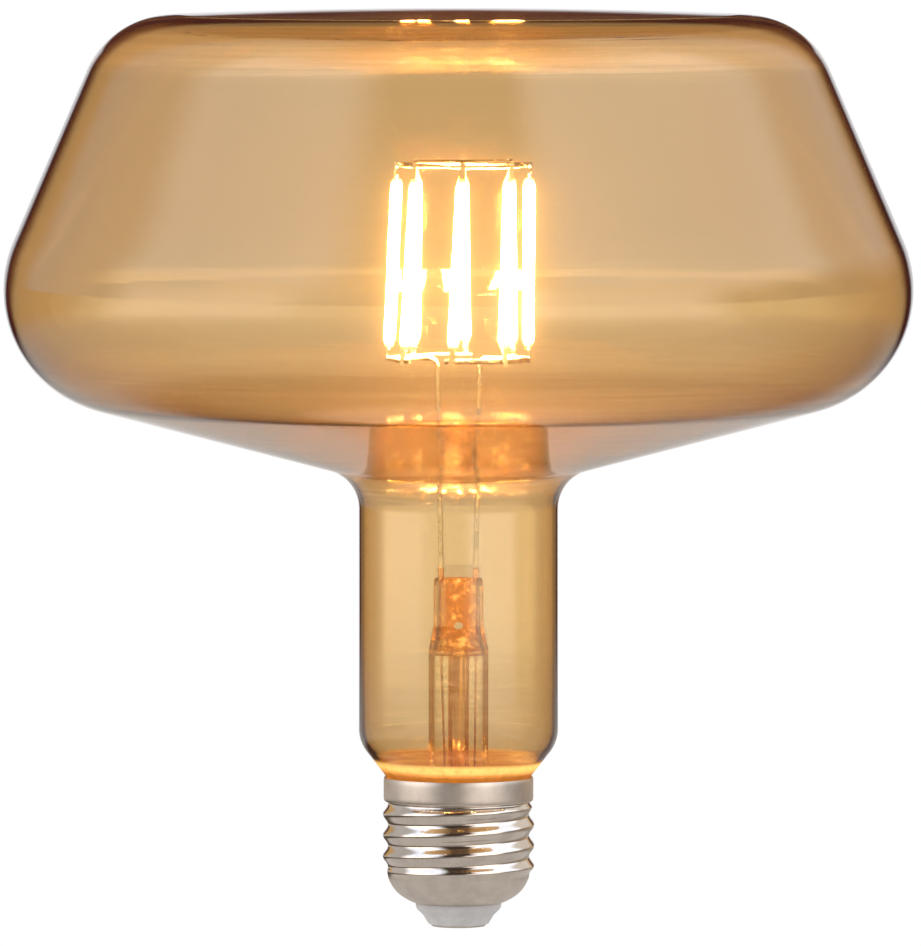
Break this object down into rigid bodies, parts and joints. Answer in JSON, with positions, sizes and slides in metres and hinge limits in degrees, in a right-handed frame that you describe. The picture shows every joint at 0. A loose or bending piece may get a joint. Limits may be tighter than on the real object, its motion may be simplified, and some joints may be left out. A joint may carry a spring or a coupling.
{
  "type": "led filament bulb",
  "caption": "Wide reflector shaped amber glass bulb with a cage of lit filaments on a glass stem, above a threaded metal screw cap with its driver inside.",
  "frame": {"origin": "centre of the bottom face of the centre contact", "axes": "+Z along the bulb's axis from the contact through the cap to the crown of the glass; +X towards the right-hand wire of the stem as the picture shows the bulb"},
  "size_m": [0.1568, 0.1568, 0.1584],
  "materials": {
    "amber_glass": "smooth blown glass with an amber tint",
    "clear_glass": "smooth clear glass",
    "seal_wire": "copper clad wire, dull where it has been heated",
    "support_wire": "drawn nickel plated wire",
    "filament_strip": "matt white ceramic",
    "filament_tab": "stamped sheet",
    "filament_coat": "yellow phosphor in clear silicone, lit",
    "nickel_shell": "nickel plated, satin with polished crests",
    "cement": "matt baked cement",
    "insulator": "light grey moulded plastic",
    "contact": "nickel plated stamping",
    "board": "green lacquered glass fibre board",
    "capacitor_can": "aluminium can in a dark sleeve",
    "package": "black moulded package",
    "winding": "ferrite drum with enamelled copper winding",
    "resistor": "lacquered resistor body",
    "tinned_lead": "tinned wire"
  },
  "bodies": {
    "root": {"glass_envelope": "amber_glass", "glass_stem": "clear_glass", "exhaust_tube": "clear_glass", "seal_wire_left": "seal_wire", "seal_wire_right": "seal_wire", "support_wire_left": "support_wire", "support_wire_right": "support_wire", "outer_lead_left": "seal_wire", "outer_lead_right": "seal_wire", "top_ring": "support_wire", "bottom_arc_left": "support_wire", "bottom_arc_right": "support_wire", "filament_strip_1": "filament_strip", "filament_tabs_1": "filament_tab", "filament_coat_1": "filament_coat", "filament_strip_2": "filament_strip", "filament_tabs_2": "filament_tab", "filament_coat_2": "filament_coat", "filament_strip_3": "filament_strip", "filament_tabs_3": "filament_tab", "filament_coat_3": "filament_coat", "filament_strip_4": "filament_strip", "filament_tabs_4": "filament_tab", "filament_coat_4": "filament_coat", "filament_strip_5": "filament_strip", "filament_tabs_5": "filament_tab", "filament_coat_5": "filament_coat", "filament_strip_6": "filament_strip", "filament_tabs_6": "filament_tab", "filament_coat_6": "filament_coat", "filament_strip_7": "filament_strip", "filament_tabs_7": "filament_tab", "filament_coat_7": "filament_coat", "filament_strip_8": "filament_strip", "filament_tabs_8": "filament_tab", "filament_coat_8": "filament_coat", "screw_shell": "nickel_shell", "cap_cement": "cement", "cap_insulator": "insulator", "centre_contact": "contact", "driver_board": "board", "smoothing_capacitor": "capacitor_can", "bridge_rectifier": "package", "driver_chip": "package", "inductor": "winding", "fuse_resistor": "resistor", "contact_lead": "tinned_lead", "shell_lead": "tinned_lead"}
  },
  "joints": []
}
